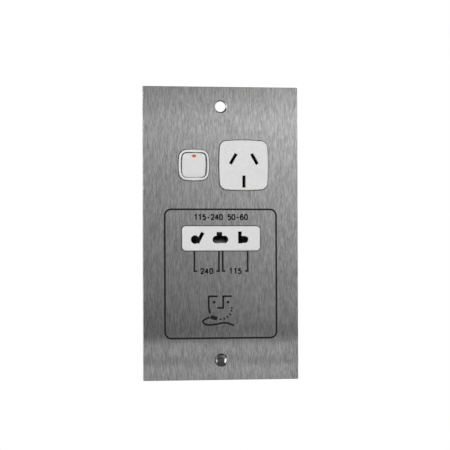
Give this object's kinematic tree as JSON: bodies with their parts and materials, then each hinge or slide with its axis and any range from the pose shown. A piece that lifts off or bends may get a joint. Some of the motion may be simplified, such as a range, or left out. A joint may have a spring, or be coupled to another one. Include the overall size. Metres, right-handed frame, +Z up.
{
  "type": "shaver socket",
  "caption": "Flush shaver supply unit: brushed steel plate with a switched three-pin outlet, a multi-standard shaver outlet and an isolating transformer behind.",
  "frame": {"origin": "middle of the plate's back face, on the wall plane", "axes": "+Z up along the plate, -Y out of the front towards the user, +X to the user's right"},
  "size_m": [0.1, 0.0493, 0.185],
  "materials": {
    "stainless": "brushed stainless steel with vertical grain",
    "screw_chrome": "bright plated steel",
    "plated_steel": "zinc plated steel",
    "white_face": "white moulded plastic, satin gloss",
    "white_rocker": "white moulded plastic, satin gloss",
    "marker_red": "orange-red inlay",
    "carrier_grey": "grey moulded plastic",
    "base_black": "dark moulded thermoset",
    "cover_grey": "pale grey moulded plastic",
    "contact_brass": "stamped brass",
    "contact_tinned": "dull tinned brass",
    "contact_silver": "silver contact tip",
    "spring_steel": "drawn spring wire",
    "slider_grey": "grey nylon",
    "core_iron": "varnished laminated iron",
    "bobbin_nylon": "natural nylon",
    "winding_tape": "copper winding under amber tape",
    "cutout_case": "black moulded case",
    "lead_red": "red wire sleeve",
    "lead_black": "black wire sleeve",
    "lead_green": "green wire sleeve with a yellow stripe",
    "lead_white": "white wire sleeve"
  },
  "bodies": {
    "housing": {"front_plate": "stainless", "fixing_screw": "screw_chrome", "weld_studs": "plated_steel", "stud_nuts": "plated_steel", "earth_tag": "contact_brass", "module_carrier": "carrier_grey", "rear_cover": "cover_grey", "cover_screws": "plated_steel", "base_screws": "plated_steel", "socket_face": "white_face", "socket_base": "base_black", "active_contact": "contact_tinned", "neutral_contact": "contact_tinned", "earth_contact": "contact_tinned", "terminal_screws": "contact_brass", "switch_frame": "white_face", "switch_base": "base_black", "pivot_terminal": "contact_brass", "load_link": "contact_brass", "load_tip": "contact_silver", "shaver_face": "white_face", "shaver_base": "base_black", "left_contact": "contact_tinned", "right_contact": "contact_tinned", "common_contact": "contact_tinned", "slider_spring": "spring_steel", "primary_blades": "contact_brass", "transformer_core": "core_iron", "bobbin": "bobbin_nylon", "primary_winding": "winding_tape", "secondary_winding": "winding_tape", "core_clamp": "plated_steel", "clamp_screws": "plated_steel", "thermal_cutout": "cutout_case", "active_lead": "lead_red", "cutout_lead": "lead_red", "neutral_lead": "lead_black", "earth_lead": "lead_green", "secondary_leads": "lead_white"},
    "rocker": {"switch_rocker": "white_rocker", "on_marker": "marker_red", "rocker_spring": "spring_steel"},
    "plunger": {"rocker_plunger": "bobbin_nylon"},
    "rocking_blade": {"rocking_contact": "contact_brass", "rocking_tip": "contact_silver"},
    "slider": {"plug_slider": "slider_grey", "bridge_contact": "contact_brass"}
  },
  "joints": [
    {"name": "rocker_tilt", "type": "hinge", "parent": "housing", "child": "rocker", "pos_m": [-0.0175, 0.001, 0.043], "axis": [1, 0, 0], "range_deg": [-10, 0]},
    {"name": "plunger_slide", "type": "slide", "parent": "rocker", "child": "plunger", "axis": [0, -0.9962, -0.0872], "range_m": [0, 0.0006], "stiffness_N_per_m": 20, "deforming": ["rocker_spring"]},
    {"name": "contact_rock", "type": "hinge", "parent": "housing", "child": "rocking_blade", "pos_m": [-0.0175, 0.0115, 0.043], "axis": [1, 0, 0], "range_deg": [0, 12]},
    {"name": "plug_slide", "type": "slide", "parent": "housing", "child": "slider", "axis": [0, 0, -1], "range_m": [0, 0.0029], "stiffness_N_per_m": 50, "deforming": ["slider_spring"]}
  ],
  "couplings": [
    {"joint": "contact_rock", "follows": "rocker_tilt", "ratio": -1.2}
  ]
}
